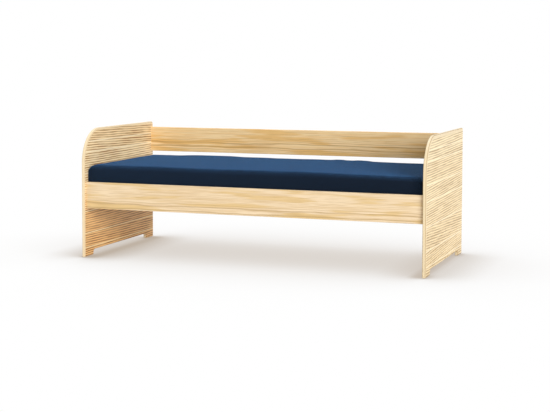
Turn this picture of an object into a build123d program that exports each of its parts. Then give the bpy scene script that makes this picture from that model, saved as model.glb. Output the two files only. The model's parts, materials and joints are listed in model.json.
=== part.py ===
from build123d import *

import os
from math import cos, radians, sin

os.makedirs("parts", exist_ok=True)

# A single bench bed in glued pine: two end panels, a front and a rear rail, a back board,
# a roll-out slat base on two ledges, and a foam mattress with a removable cover.
# X runs along the bed, the front is at -Y, Z is up. The origin is on the floor, at the centre.
# All sizes are in millimetres.

# Mattress
mattress_length = 2000.0
mattress_width = 900.0
mattress_thickness = 140.0
mattress_corner_radius = 34.0
mattress_edge_radius = 26.0
cover_thickness = 2.0
seam_height = 32.0  # the cover's halves meet this far above the underside
core_clearance = 0.3
piping_radius = 2.2
piping_angle = 72.0  # how far up the rounded top edge the piping is sewn, in degrees
piping_gap = 0.1

# Room around the mattress
mattress_end_clearance = 5.0
mattress_side_clearance = 1.5
soft_clearance = 0.3

# End panels
panel_height = 752.0
panel_thickness = 18.0
panel_corner_radius = 200.0
panel_rear_corner_radius = 16.0
panel_arris = 3.5
front_setback = 20.0  # front rail behind the panels' front edges
rear_setback = 7.0  # back board ahead of the panels' rear edges
foot_width = 112.0
foot_recess_height = 30.0
foot_recess_radius = 20.0
foot_corner_radius = 7.0

# Rails and back board, cut from the same board
board_height = 155.0
board_thickness = 20.0
board_arris = 2.5
rail_bottom = 289.0
back_board_bottom = 565.5
mattress_sink = 44.0  # the mattress lies this far below the rail's top edge

# Ledges that carry the slats
ledge_width = 27.0
ledge_height = 30.0
ledge_arris = 1.5
ledge_end_gap = 15.0

# Slat base
slat_count = 16
slat_width = 68.0
slat_thickness = 20.0
slat_arris = 2.0
slat_end_clearance = 3.0
slat_base_margin = 15.0  # from the first slat to the panel
strap_width = 25.0
strap_thickness = 1.2
strap_to_ledge = 15.0
staple_crown = 10.0
staple_leg = 8.0
staple_wire = 1.0

# Ledge screws
screw_count = 7
screw_length = 40.0
screw_radius = 2.0
screw_head_radius = 4.0
screw_head_depth = 2.6
screw_tip = 5.0
screw_edge_margin = 60.0
recess_arm = 3.6
recess_width = 0.9
recess_depth = 1.8
pilot_clearance = 0.05

# Concealed connectors at the board ends
connector_edge_distance = 27.5
cam_inset = 34.0  # cam centre to the board's end
cam_radius = 7.5
cam_cover = 6.0  # wood left below the cam
cam_fit = 0.05
cam_slot_depth = 2.0
bolt_hole_radius = 4.0
bolt_thread_radius = 3.0
bolt_shank_radius = 3.5
bolt_neck_radius = 2.0
bolt_head_radius = 3.2
bolt_head_length = 4.0
bolt_clearance = 0.3
bolt_end_gap = 1.0  # room past the thread, inside the sleeve
neck_lead = 0.5  # the neck starts this far before the cam
sleeve_radius = 5.0
sleeve_cover = 6.0  # wood left behind the sleeve
sleeve_fit = 0.05
thread_fit = 0.05

# Dowels
dowel_radius = 4.0
dowel_in_board = 24.0
dowel_cover = 8.0  # wood left behind the dowel
dowel_fit = 0.05
dowel_end_gap = 0.5
dowel_chamfer = 1.0

# Floor glides
glide_radius = 8.0
glide_height = 3.0
glide_chamfer = 0.6
glide_nail_radius = 1.2
glide_nail_length = 16.0
glide_nail_head_radius = 2.6
glide_nail_head_height = 0.8
glide_nail_recess = 0.8
glide_nail_fit = 0.05

# Zip at the right-hand end of the cover
zip_height = 5.0
zip_thickness = 1.4
zip_corner_margin = 60.0
slider_length = 11.0
slider_height = 8.0
slider_thickness = 1.6
slider_gap = 0.2
slider_arris = 0.6
pull_length = 24.0
pull_width = 5.0
pull_hole_radius = 1.2

# Places that follow from the sizes above
tolerance = 1e-6
inner_length = mattress_length + 2 * mattress_end_clearance
inner_width = mattress_width + 2 * mattress_side_clearance
panel_depth = front_setback + board_thickness + inner_width + board_thickness + rear_setback
half_length = inner_length / 2
y_front_edge = -panel_depth / 2
y_front_rail = y_front_edge + front_setback
y_inner_front = y_front_rail + board_thickness
y_inner_rear = y_inner_front + inner_width
y_middle = (y_inner_front + y_inner_rear) / 2
rail_top = rail_bottom + board_height
mattress_bottom = rail_top - mattress_sink
slat_top = mattress_bottom - soft_clearance
ledge_top = slat_top - slat_thickness
ledge_bottom = ledge_top - ledge_height
cam_depth = board_thickness - cam_cover
sleeve_length = panel_thickness - sleeve_cover
dowel_in_panel = panel_thickness - dowel_cover

# Every board end has a connector near each edge and two dowels evenly between them
connector_pitch = (board_height - 2 * connector_edge_distance) / 3
connector_heights = [board_height / 2 + k * connector_pitch for k in (-1.5, 1.5)]
dowel_heights = [board_height / 2 + k * connector_pitch for k in (-0.5, 0.5)]
board_places = [
    (y_front_rail, rail_bottom),
    (y_inner_rear, rail_bottom),
    (y_inner_rear, back_board_bottom),
]


def end_places(heights):
    """Places at every board end, on the panel's inner face, with local +Z into the board."""
    places = []
    for end in (-1, 1):
        for y_board, z_board in board_places:
            for height in heights:
                point = (end * half_length, y_board + board_thickness / 2, z_board + height)
                places.append(Location(point, (0, -90 * end, 0)))
    return places


def copies(piece, places):
    """One group of separate solids: the piece at each of the places."""
    with BuildPart() as group:
        with Locations(*places):
            add(piece)
    return group.part


# Connector bolt, drawn along +Z: thread in the panel's sleeve, ball head inside the cam
neck_start = cam_inset - cam_radius - neck_lead
thread_end = bolt_end_gap - sleeve_length
head_start = cam_inset - bolt_head_length / 2
with BuildPart() as connector_bolt:
    with BuildSketch(Plane.XZ):
        with BuildLine():
            Polyline(
                (0, thread_end),
                (bolt_thread_radius, thread_end),
                (bolt_thread_radius, 0),
                (bolt_shank_radius, 0),
                (bolt_shank_radius, neck_start),
                (bolt_neck_radius, neck_start),
                (bolt_neck_radius, head_start),
                (bolt_head_radius, head_start),
                (bolt_head_radius, head_start + bolt_head_length),
                (0, head_start + bolt_head_length),
                close=True,
            )
        make_face()
    revolve(axis=Axis.Z)

# Threaded sleeve, sunk into the panel's inner face
with BuildPart() as threaded_sleeve:
    with BuildSketch():
        Circle(sleeve_radius)
        Circle(bolt_thread_radius + thread_fit, mode=Mode.SUBTRACT)
    extrude(amount=-sleeve_length)

# Cam nut: a drum along Y, slotted for the bolt's neck and hollow for its head
cam_face = board_thickness / 2  # the drum's open face, from the bolt's axis
with BuildPart() as cam_nut:
    with BuildSketch(Plane(origin=(0, cam_face, cam_inset), z_dir=(0, 1, 0))):
        Circle(cam_radius)
    extrude(amount=-cam_depth)
    with BuildSketch(Plane.XY.offset(head_start - bolt_clearance)):
        Circle(bolt_head_radius + bolt_clearance)
    extrude(amount=bolt_head_length + 2 * bolt_clearance, mode=Mode.SUBTRACT)
    with BuildSketch():
        Circle(bolt_neck_radius + bolt_clearance)
    extrude(amount=cam_inset, mode=Mode.SUBTRACT)
    with BuildSketch(Plane(origin=(0, cam_face, cam_inset), z_dir=(0, 1, 0))):
        Rectangle(cam_radius, recess_width)
        Rectangle(recess_width, cam_radius)
    extrude(amount=-cam_slot_depth, mode=Mode.SUBTRACT)

# Wooden dowel, chamfered at both ends
with BuildPart() as dowel:
    with BuildSketch(Plane.XY.offset(-dowel_in_panel)):
        Circle(dowel_radius)
    extrude(amount=dowel_in_panel + dowel_in_board)
    chamfer(dowel.edges().filter_by(GeomType.CIRCLE), length=dowel_chamfer)

with BuildPart() as connector_bolts:
    add(copies(connector_bolt.part, end_places(connector_heights)))
connector_bolts.part.label = "connector_bolts"
export_step(connector_bolts.part, "parts/connector_bolts.step")

with BuildPart() as threaded_sleeves:
    add(copies(threaded_sleeve.part, end_places(connector_heights)))
threaded_sleeves.part.label = "threaded_sleeves"
export_step(threaded_sleeves.part, "parts/threaded_sleeves.step")

with BuildPart() as cam_nuts:
    add(copies(cam_nut.part, end_places(connector_heights)))
cam_nuts.part.label = "cam_nuts"
export_step(cam_nuts.part, "parts/cam_nuts.step")

with BuildPart() as dowels:
    add(copies(dowel.part, end_places(dowel_heights)))
dowels.part.label = "dowels"
export_step(dowels.part, "parts/dowels.step")


# Ledge screw, drawn with its head flush at z = 0 and its point down
with BuildPart() as ledge_screw:
    with BuildSketch(Plane.XZ):
        with BuildLine():
            Polyline(
                (0, 0),
                (screw_head_radius, 0),
                (screw_radius, -screw_head_depth),
                (screw_radius, screw_tip - screw_length),
                (0, -screw_length),
                close=True,
            )
        make_face()
    revolve(axis=Axis.Z)
    with BuildSketch():
        Rectangle(recess_arm, recess_width)
        Rectangle(recess_width, recess_arm)
    extrude(amount=-recess_depth, mode=Mode.SUBTRACT)

# The hole that such a screw needs, a little wider all round
with BuildPart() as screw_hole:
    with BuildSketch(Plane.XZ):
        with BuildLine():
            Polyline(
                (0, 0),
                (screw_head_radius + pilot_clearance, 0),
                (screw_radius + pilot_clearance, -screw_head_depth),
                (screw_radius + pilot_clearance, -screw_length - pilot_clearance),
                (0, -screw_length - pilot_clearance),
                close=True,
            )
        make_face()
    revolve(axis=Axis.Z)

ledge_length = inner_length - 2 * ledge_end_gap
screw_pitch = (ledge_length - 2 * screw_edge_margin) / (screw_count - 1)
screw_z = ledge_bottom + ledge_height / 2


def screw_places(y_face, turn):
    """Places on a ledge's inner face, with local +Z out of the wood."""
    first = -screw_pitch * (screw_count - 1) / 2
    return [Location((first + k * screw_pitch, y_face, screw_z), (turn, 0, 0)) for k in range(screw_count)]


front_screw_places = screw_places(y_inner_front + ledge_width, -90)
rear_screw_places = screw_places(y_inner_rear - ledge_width, 90)

with BuildPart() as front_ledge_screws:
    add(copies(ledge_screw.part, front_screw_places))
front_ledge_screws.part.label = "front_ledge_screws"
export_step(front_ledge_screws.part, "parts/front_ledge_screws.step")

with BuildPart() as rear_ledge_screws:
    add(copies(ledge_screw.part, rear_screw_places))
rear_ledge_screws.part.label = "rear_ledge_screws"
export_step(rear_ledge_screws.part, "parts/rear_ledge_screws.step")


def board(y_low, z_low):
    """A rail or back board from panel to panel, drilled for its connectors and dowels."""
    y_axis = y_low + board_thickness / 2
    with BuildPart() as blank:
        with BuildSketch(Plane.YZ.offset(-half_length)):
            with Locations((y_axis, z_low + board_height / 2)):
                RectangleRounded(board_thickness, board_height, board_arris)
        extrude(amount=inner_length)
        for end in (-1, 1):
            with BuildSketch(Plane.YZ.offset(end * half_length)):
                with Locations(*[(y_axis, z_low + height) for height in connector_heights]):
                    Circle(bolt_hole_radius)
            extrude(amount=-end * cam_inset, mode=Mode.SUBTRACT)
            with BuildSketch(Plane.YZ.offset(end * half_length)):
                with Locations(*[(y_axis, z_low + height) for height in dowel_heights]):
                    Circle(dowel_radius + dowel_fit)
            extrude(amount=-end * (dowel_in_board + dowel_end_gap), mode=Mode.SUBTRACT)
        cam_x = half_length - cam_inset
        with BuildSketch(Plane(origin=(0, y_low + board_thickness, z_low), x_dir=(1, 0, 0), z_dir=(0, 1, 0))):
            with Locations(*[(x, -height) for x in (-cam_x, cam_x) for height in connector_heights]):
                Circle(cam_radius + cam_fit)
        extrude(amount=-cam_depth - cam_fit, mode=Mode.SUBTRACT)
    return blank.part


with BuildPart() as front_rail:
    add(board(y_front_rail, rail_bottom))
    add(copies(screw_hole.part, front_screw_places), mode=Mode.SUBTRACT)
front_rail.part.label = "front_rail"
export_step(front_rail.part, "parts/front_rail.step")

with BuildPart() as rear_rail:
    add(board(y_inner_rear, rail_bottom))
    add(copies(screw_hole.part, rear_screw_places), mode=Mode.SUBTRACT)
rear_rail.part.label = "rear_rail"
export_step(rear_rail.part, "parts/rear_rail.step")

with BuildPart() as back_board:
    add(board(y_inner_rear, back_board_bottom))
back_board.part.label = "back_board"
export_step(back_board.part, "parts/back_board.step")


def ledge(y_low, places):
    """A batten that carries the slat ends, with a countersunk hole for each screw."""
    with BuildPart() as batten:
        with BuildSketch(Plane.YZ.offset(-ledge_length / 2)):
            with Locations((y_low + ledge_width / 2, ledge_bottom + ledge_height / 2)):
                RectangleRounded(ledge_width, ledge_height, ledge_arris)
        extrude(amount=ledge_length)
        add(copies(screw_hole.part, places), mode=Mode.SUBTRACT)
    return batten.part


with BuildPart() as front_ledge:
    add(ledge(y_inner_front, front_screw_places))
front_ledge.part.label = "front_ledge"
export_step(front_ledge.part, "parts/front_ledge.step")

with BuildPart() as rear_ledge:
    add(ledge(y_inner_rear - ledge_width, rear_screw_places))
rear_ledge.part.label = "rear_ledge"
export_step(rear_ledge.part, "parts/rear_ledge.step")


# End panels: a rounded front top corner, and a recess below that leaves two feet
panel_bottom = glide_height
panel_top = panel_bottom + panel_height
recess_top = panel_bottom + foot_recess_height
y_foot = panel_depth / 2 - foot_width
foot_centre_y = panel_depth / 2 - foot_width / 2
glide_x = half_length + panel_thickness / 2


def end_panel(end):
    """The panel at one end of the bed: -1 is the left one and 1 the right one."""
    y_edge = panel_depth / 2
    with BuildPart() as panel:
        with BuildSketch(Plane.YZ.offset(end * half_length)) as outline:
            with BuildLine():
                Polyline(
                    (-y_edge, panel_bottom),
                    (-y_edge, panel_top),
                    (y_edge, panel_top),
                    (y_edge, panel_bottom),
                    (y_foot, panel_bottom),
                    (y_foot, recess_top),
                    (-y_foot, recess_top),
                    (-y_foot, panel_bottom),
                    close=True,
                )
            make_face()
            top_corners = outline.vertices().group_by(Axis.Y)[-1].sort_by(Axis.X)
            fillet(top_corners[0], radius=panel_corner_radius)
            rear_corner = outline.vertices().group_by(Axis.Y)[-1].sort_by(Axis.X)[-1]
            fillet(rear_corner, radius=panel_rear_corner_radius)
            recess_corners = outline.vertices().filter_by(lambda v: abs(v.Y - recess_top) < tolerance)
            fillet(recess_corners, radius=foot_recess_radius)
            foot_corners = outline.vertices().group_by(Axis.Y)[0]
            inner_foot_corners = foot_corners.filter_by(lambda v: abs(v.X) < y_edge - tolerance)
            fillet(inner_foot_corners, radius=foot_corner_radius)
        extrude(amount=end * panel_thickness)
        face_edges = panel.faces().filter_by(Axis.X).edges()
        fillet(face_edges.filter_by(lambda e: e.center().Z > panel_bottom + tolerance), panel_arris)
        inner_face = Plane.YZ.offset(end * half_length)
        with BuildSketch(inner_face):
            for y_board, z_board in board_places:
                with Locations(*[(y_board + board_thickness / 2, z_board + h) for h in connector_heights]):
                    Circle(sleeve_radius + sleeve_fit)
        extrude(amount=end * sleeve_length, mode=Mode.SUBTRACT)
        with BuildSketch(inner_face):
            for y_board, z_board in board_places:
                with Locations(*[(y_board + board_thickness / 2, z_board + h) for h in dowel_heights]):
                    Circle(dowel_radius + dowel_fit)
        extrude(amount=end * (dowel_in_panel + dowel_end_gap), mode=Mode.SUBTRACT)
        with BuildSketch(Plane.XY.offset(panel_bottom)):
            with Locations((end * glide_x, -foot_centre_y), (end * glide_x, foot_centre_y)):
                Circle(glide_nail_radius + glide_nail_fit)
        extrude(amount=glide_nail_length, mode=Mode.SUBTRACT)
    return panel.part


with BuildPart() as left_panel:
    add(end_panel(-1))
left_panel.part.label = "left_panel"
export_step(left_panel.part, "parts/left_panel.step")

with BuildPart() as right_panel:
    add(end_panel(1))
right_panel.part.label = "right_panel"
export_step(right_panel.part, "parts/right_panel.step")


# Floor glides, one nailed under each foot
nail_head_top = glide_nail_recess + glide_nail_head_height


def floor_glide(x, y):
    """A plastic pad with a sunk hole for its nail."""
    with BuildPart() as pad:
        with BuildSketch():
            with Locations((x, y)):
                Circle(glide_radius)
        extrude(amount=glide_height)
        chamfer(pad.edges().group_by(Axis.Z)[0], length=glide_chamfer)
        with BuildSketch():
            with Locations((x, y)):
                Circle(glide_nail_head_radius + glide_nail_fit)
        extrude(amount=nail_head_top, mode=Mode.SUBTRACT)
        with BuildSketch():
            with Locations((x, y)):
                Circle(glide_nail_radius + glide_nail_fit)
        extrude(amount=glide_height, mode=Mode.SUBTRACT)
    return pad.part


for side, x in (("left", -glide_x), ("right", glide_x)):
    for foot, y in (("front", -foot_centre_y), ("rear", foot_centre_y)):
        glide = floor_glide(x, y)
        glide.label = f"{side}_{foot}_glide"
        export_step(glide, f"parts/{side}_{foot}_glide.step")

with BuildPart() as glide_nails:
    with BuildSketch(Plane.XY.offset(glide_nail_recess)):
        with GridLocations(2 * glide_x, 2 * foot_centre_y, 2, 2):
            Circle(glide_nail_head_radius)
    extrude(amount=glide_nail_head_height)
    with BuildSketch(Plane.XY.offset(nail_head_top)):
        with GridLocations(2 * glide_x, 2 * foot_centre_y, 2, 2):
            Circle(glide_nail_radius)
    extrude(amount=glide_nail_length - nail_head_top)
glide_nails.part.label = "glide_nails"
export_step(glide_nails.part, "parts/glide_nails.step")


# Slat base: slats on the ledges, two straps below them, a staple at every crossing
slat_length = inner_width - 2 * slat_end_clearance
slat_base_length = inner_length - 2 * slat_base_margin
slat_pitch = (slat_base_length - slat_width) / (slat_count - 1)
slat_x = [(k - (slat_count - 1) / 2) * slat_pitch for k in range(slat_count)]
strap_offset = inner_width / 2 - ledge_width - strap_to_ledge - strap_width / 2
strap_y = [y_middle - strap_offset, y_middle + strap_offset]
strap_bottom = ledge_top - strap_thickness
leg_y = (staple_crown - staple_wire) / 2

# Wire staple, drawn with its crown under the strap and its legs up
with BuildPart() as staple:
    with BuildSketch(Plane.YZ.offset(-staple_wire / 2)):
        with Locations((0, -staple_wire / 2)):
            Rectangle(staple_crown, staple_wire)
        with Locations((-leg_y, staple_leg / 2), (leg_y, staple_leg / 2)):
            Rectangle(staple_wire, staple_leg)
    extrude(amount=staple_wire)

with BuildPart() as slat_staples:
    with Locations(*[(x, y, strap_bottom) for x in slat_x for y in strap_y]):
        add(staple.part)
slat_staples.part.label = "slat_staples"
export_step(slat_staples.part, "parts/slat_staples.step")

for number, x in enumerate(slat_x, start=1):
    with BuildPart() as slat:
        with BuildSketch(Plane.XZ.offset(-y_middle - slat_length / 2)):
            with Locations((x, ledge_top + slat_thickness / 2)):
                RectangleRounded(slat_width, slat_thickness, slat_arris)
        extrude(amount=slat_length)
        with Locations(*[(x, y, strap_bottom) for y in strap_y]):
            add(staple.part, mode=Mode.SUBTRACT)
    slat.part.label = f"slat_{number:02d}"
    export_step(slat.part, f"parts/slat_{number:02d}.step")


def strap(y):
    """Webbing under all the slats, pierced by the staples."""
    with BuildPart() as webbing:
        with BuildSketch(Plane.XY.offset(strap_bottom)):
            with Locations((0, y)):
                Rectangle(slat_base_length, strap_width)
        extrude(amount=strap_thickness)
        with Locations(*[(x, y, strap_bottom) for x in slat_x]):
            add(staple.part, mode=Mode.SUBTRACT)
    return webbing.part


with BuildPart() as front_strap:
    add(strap(strap_y[0]))
front_strap.part.label = "front_strap"
export_step(front_strap.part, "parts/front_strap.step")

with BuildPart() as rear_strap:
    add(strap(strap_y[1]))
rear_strap.part.label = "rear_strap"
export_step(rear_strap.part, "parts/rear_strap.step")


def mattress_block(inset):
    """The mattress's rounded block, taken in on every side by the inset."""
    with BuildPart() as block:
        with BuildSketch(Plane.XY.offset(mattress_bottom + inset)):
            with Locations((0, y_middle)):
                RectangleRounded(
                    mattress_length - 2 * inset,
                    mattress_width - 2 * inset,
                    mattress_corner_radius - inset,
                )
        extrude(amount=mattress_thickness - 2 * inset)
        rims = block.faces().filter_by(Axis.Z).edges()
        fillet(rims, radius=mattress_edge_radius - inset)
    return block.part


with BuildPart() as mattress_core:
    add(mattress_block(cover_thickness + core_clearance))
mattress_core.part.label = "mattress_core"
export_step(mattress_core.part, "parts/mattress_core.step")

seam_plane = Plane.XY.offset(mattress_bottom + seam_height)
with BuildPart() as mattress_cover_top:
    add(mattress_block(0))
    add(mattress_block(cover_thickness), mode=Mode.SUBTRACT)
    split(bisect_by=seam_plane, keep=Keep.TOP)
mattress_cover_top.part.label = "mattress_cover_top"
export_step(mattress_cover_top.part, "parts/mattress_cover_top.step")

with BuildPart() as mattress_cover_base:
    add(mattress_block(0))
    add(mattress_block(cover_thickness), mode=Mode.SUBTRACT)
    split(bisect_by=seam_plane, keep=Keep.BOTTOM)
mattress_cover_base.part.label = "mattress_cover_base"
export_step(mattress_cover_base.part, "parts/mattress_cover_base.step")

# Piping sewn round the top of the cover, where its top panel meets the sides
piping_reach = mattress_edge_radius + piping_gap + piping_radius
piping_inset = mattress_edge_radius - piping_reach * cos(radians(piping_angle))
edge_centre_z = mattress_bottom + mattress_thickness - mattress_edge_radius
piping_z = edge_centre_z + piping_reach * sin(radians(piping_angle))
with BuildSketch(Plane.XY.offset(piping_z)) as piping_outline:
    with Locations((0, y_middle)):
        RectangleRounded(
            mattress_length - 2 * piping_inset,
            mattress_width - 2 * piping_inset,
            mattress_corner_radius - piping_inset,
        )
piping_path = piping_outline.sketch.face().outer_wire()
with BuildPart() as top_piping:
    with BuildSketch(Plane(origin=piping_path @ 0, z_dir=piping_path % 0)):
        Circle(piping_radius)
    sweep(path=piping_path)
top_piping.part.label = "top_piping"
export_step(top_piping.part, "parts/top_piping.step")

# Zip on the cover's right-hand end, over the seam, and its slider with a hanging pull
x_zip = mattress_length / 2
z_zip = mattress_bottom + seam_height
zip_length = mattress_width - 2 * zip_corner_margin
with BuildPart() as cover_zip:
    with BuildSketch(Plane.YZ.offset(x_zip)):
        with Locations((y_middle, z_zip)):
            SlotOverall(zip_length, zip_height)
    extrude(amount=zip_thickness)
cover_zip.part.label = "cover_zip"
export_step(cover_zip.part, "parts/cover_zip.step")

x_slider = x_zip + zip_thickness + slider_gap
y_slider = y_middle - zip_length / 2 + zip_height
with BuildPart() as zip_slider:
    with BuildSketch(Plane.YZ.offset(x_slider)):
        with Locations((y_slider, z_zip)):
            RectangleRounded(slider_length, slider_height, slider_arris)
        with Locations((y_slider, z_zip - pull_length / 2)):
            SlotOverall(pull_length, pull_width, rotation=90)
        with Locations((y_slider, z_zip - pull_length + pull_width / 2)):
            Circle(pull_hole_radius, mode=Mode.SUBTRACT)
    extrude(amount=slider_thickness)
zip_slider.part.label = "zip_slider"
export_step(zip_slider.part, "parts/zip_slider.step")
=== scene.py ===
# %% [markdown]
# # A pine bench bed with a navy mattress
# The bed is a small kit of parts: two glued pine end panels, two rails, a back board, a slat base and a
# foam mattress in a sewn cover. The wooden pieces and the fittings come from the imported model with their
# real shape, so this lesson dresses them with finishes. The soft pieces are modelled here, in place of
# their plain solids. Everything is in metres. X runs along the bed, the front is at -Y and Z is up.

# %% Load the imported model
import json
from math import cos, exp, pi, radians, sin

import bmesh
import bpy
from mathutils import Matrix, Vector, noise
from mathutils.bvhtree import BVHTree


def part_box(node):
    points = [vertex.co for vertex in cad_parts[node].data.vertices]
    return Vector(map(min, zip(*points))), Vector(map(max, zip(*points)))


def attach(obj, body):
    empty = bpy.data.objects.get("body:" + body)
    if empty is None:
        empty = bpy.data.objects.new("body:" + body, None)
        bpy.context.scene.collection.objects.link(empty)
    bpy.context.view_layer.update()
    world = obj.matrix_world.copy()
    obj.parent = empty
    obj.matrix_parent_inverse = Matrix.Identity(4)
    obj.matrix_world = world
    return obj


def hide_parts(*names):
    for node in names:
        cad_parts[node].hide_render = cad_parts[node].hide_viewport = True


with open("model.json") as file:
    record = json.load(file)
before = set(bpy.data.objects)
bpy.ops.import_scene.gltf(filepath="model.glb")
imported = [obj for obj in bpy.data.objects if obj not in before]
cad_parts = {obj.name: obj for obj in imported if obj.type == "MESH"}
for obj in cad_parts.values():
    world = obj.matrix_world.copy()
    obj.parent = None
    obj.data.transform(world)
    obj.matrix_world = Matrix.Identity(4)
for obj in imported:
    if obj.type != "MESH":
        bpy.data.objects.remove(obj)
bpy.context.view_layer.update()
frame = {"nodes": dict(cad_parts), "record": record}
nodes = frame["nodes"]

# %% [markdown]
# ## The view
# A long lens from a distance keeps the uprights of furniture straight, as in a catalogue. The camera
# stands in front of the right-hand end, a little above the mattress. The lens is shifted up instead of
# tipping the camera further down, because tipping makes the end panels lean.

# %% Camera
sensor_width = 36.0
camera_tilt, camera_turn = 3.78, 21.59  # degrees below level, and degrees turned to the left
camera_data = bpy.data.cameras.new("bed_camera")
camera_data.sensor_width = sensor_width
camera_data.lens = 87.39
camera_data.shift_x = 0.1032
camera_data.shift_y = -0.12
camera_data.clip_end = 200.0
camera = bpy.data.objects.new("bed_camera", camera_data)
camera.location = (2.5906, -7.4415, 1.2070)
camera.rotation_euler = (radians(90 - camera_tilt), 0, radians(camera_turn))
bpy.context.scene.collection.objects.link(camera)
bpy.context.scene.camera = camera
bpy.context.scene.view_settings.view_transform = "Standard"
print("camera lens", camera_data.lens, "mm")

# %% [markdown]
# ## A short way to write materials
# A finish in Blender is a graph of nodes. Written out one by one, the nodes hide the idea, so this class
# holds a material under construction and adds a node with its inputs in one call. An input that is
# another node's output is linked, and anything else is set as a plain value. The pattern is always read
# from Object coordinates, which are metres on this bed, so every number below is a real size.


# %% The material helper
class Finish:
    """A material under construction, with short ways to add nodes to it."""

    def __init__(self, name):
        self.material = bpy.data.materials.new(name)
        self.material.use_nodes = True
        self.tree = self.material.node_tree
        self.shader = self.tree.nodes["Principled BSDF"]
        coordinates = self.tree.nodes.new("ShaderNodeTexCoord")
        self.place = coordinates.outputs["Object"]
        self.normal = coordinates.outputs["Normal"]

    def plug(self, socket, value):
        if isinstance(value, bpy.types.NodeSocket):
            self.tree.links.new(value, socket)
        else:
            socket.default_value = value

    def add(self, kind, inputs=None, **settings):
        node = self.tree.nodes.new(kind)
        for name, value in settings.items():
            setattr(node, name, value)
        for name, value in (inputs or {}).items():
            self.plug(node.inputs[name], value)
        return node

    def maths(self, operation, *values):
        node = self.add("ShaderNodeMath", operation=operation)
        for socket, value in zip(node.inputs, values):
            self.plug(socket, value)
        return node.outputs[0]

    def axes(self, vector):
        return self.add("ShaderNodeSeparateXYZ", {"Vector": vector}).outputs

    def stretched(self, scale, location=(0, 0, 0)):
        """Object coordinates, with each axis multiplied by its own number."""
        inputs = {"Vector": self.place, "Scale": scale, "Location": location}
        return self.add("ShaderNodeMapping", inputs).outputs[0]

    def noise(self, scale, location=(0, 0, 0), detail=2.0, roughness=0.5):
        """Soft noise from 0 to 1 with so many blobs to a metre along each axis."""
        place = self.stretched(scale, location)
        inputs = {"Vector": place, "Scale": 1.0, "Detail": detail, "Roughness": roughness}
        return self.add("ShaderNodeTexNoise", inputs).outputs[0]

    def random(self, number):
        """A random value from 0 to 1 that belongs to a number."""
        return self.add("ShaderNodeTexWhiteNoise", {"W": number}, noise_dimensions="1D").outputs[0]

    def between(self, value, low, high, to_low=0.0, to_high=1.0):
        """The value, eased from to_low at low to to_high at high."""
        inputs = {"Value": value, "From Min": low, "From Max": high, "To Min": to_low, "To Max": to_high}
        return self.add("ShaderNodeMapRange", inputs, interpolation_type="SMOOTHSTEP").outputs[0]

    def mix(self, factor, first, second, blend="MIX"):
        node = self.add("ShaderNodeMix", data_type="RGBA", blend_type=blend)
        self.plug(node.inputs[0], factor)
        self.plug(node.inputs[6], first)
        self.plug(node.inputs[7], second)
        return node.outputs[2]

    def bump(self, height, distance, strength=1.0):
        """A relief so many metres deep."""
        node = self.add("ShaderNodeBump", {"Height": height, "Distance": distance, "Strength": strength})
        self.plug(self.shader.inputs["Normal"], node.outputs[0])

    def finish(self, colour, roughness, **constants):
        """Joins colour and roughness to the shader, and sets the rest on its own sockets."""
        self.plug(self.shader.inputs["Base Color"], colour)
        self.plug(self.shader.inputs["Roughness"], roughness)
        for name, value in constants.items():
            self.shader.inputs[name.replace("_", " ")].default_value = value
        return self.material


print("material helper ready")

# %% [markdown]
# ## The studio
# A white floor and a white surround light the pine from all sides, which is why catalogue pictures have
# hardly any hard shadow. A lamp that is bright enough to bleach the floor would bleach the pine too. So
# the floor and the world glow white for the camera and for reflections alone, and the light that falls on
# the bed stays at a plain level.

# %% Floor
floor_size = 60.0
floor_mesh = bmesh.new()
bmesh.ops.create_grid(floor_mesh, x_segments=1, y_segments=1, size=floor_size / 2)
floor_data = bpy.data.meshes.new("studio_floor")
floor_mesh.to_mesh(floor_data)
floor_mesh.free()
floor = bpy.data.objects.new("studio_floor", floor_data)
bpy.context.scene.collection.objects.link(floor)
print("floor", floor_size, "m square")

# %% [markdown]
# The floor and the world both have to know what kind of ray has met them: one that looks at the backdrop,
# or one that carries light to the bed.


# %% Rays that see the backdrop
def backdrop_rays(tree):
    """1 for rays of the camera, reflections and clear materials, and 0 for the light on the bed."""
    rays = tree.nodes.new("ShaderNodeLightPath").outputs
    seen = rays["Is Camera Ray"]
    for kind in ("Is Glossy Ray", "Is Transmission Ray"):
        either = tree.nodes.new("ShaderNodeMath")
        either.operation = "MAXIMUM"
        tree.links.new(seen, either.inputs[0])
        tree.links.new(rays[kind], either.inputs[1])
        seen = either.outputs[0]
    return seen


print("backdrop rays ready")

# %% [markdown]
# A floor that glows has no shadow of its own, so its shade is worked out instead. The ambient occlusion
# node tells how open a point is. With a wide reach it gives the broad shade below the bed, and with a
# short reach the darker places where the feet touch. Two narrow lines beside the end panels are added,
# and further out the floor fades to plain white. All of this is backdrop and no part of the bed.

# %% Shade on the floor
shade_tone = (0.50, 0.42, 0.34, 1.0)  # the floor where hardly any of the room reaches it
shade_reach, touch_reach = 3.0, 0.3  # how far the broad shade and the contact shade look round, in metres
shade_slope, shade_base = 0.69, 0.35  # turn openness into the broad shade's share of white
touch_left, touch_right = 2.25, 1.08  # force of the contact shade at the left and the right panel
panel_place, beyond_place = 1.0, 1.06  # metres from the middle to a panel, and to where the outer side begins
beyond_drop = 0.65  # how much weaker the contact shade is on the left panel's outer side
line_place = 0.985  # metres from the middle to the narrow line beside each panel
line_start, line_end = 0.015, 0.08  # the line fades out over these distances from its middle
line_force = 0.55
line_front, line_stop = 0.44, 0.53  # and over these distances from the bed's long axis
fade_start, fade_end = 1.9, 3.6  # metres from the bed's middle over which the floor turns plain white

floor_paint = Finish("studio_floor")
floor_tree = floor_paint.tree
floor_tree.nodes.remove(floor_paint.shader)
maths, between = floor_paint.maths, floor_paint.between
floor_place = floor_paint.axes(floor_paint.place)


def openness(reach):
    """How much of the room within reach a point of the floor sees, from 0 to 1."""
    return floor_paint.add("ShaderNodeAmbientOcclusion", {"Distance": reach}).outputs["AO"]


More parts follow.
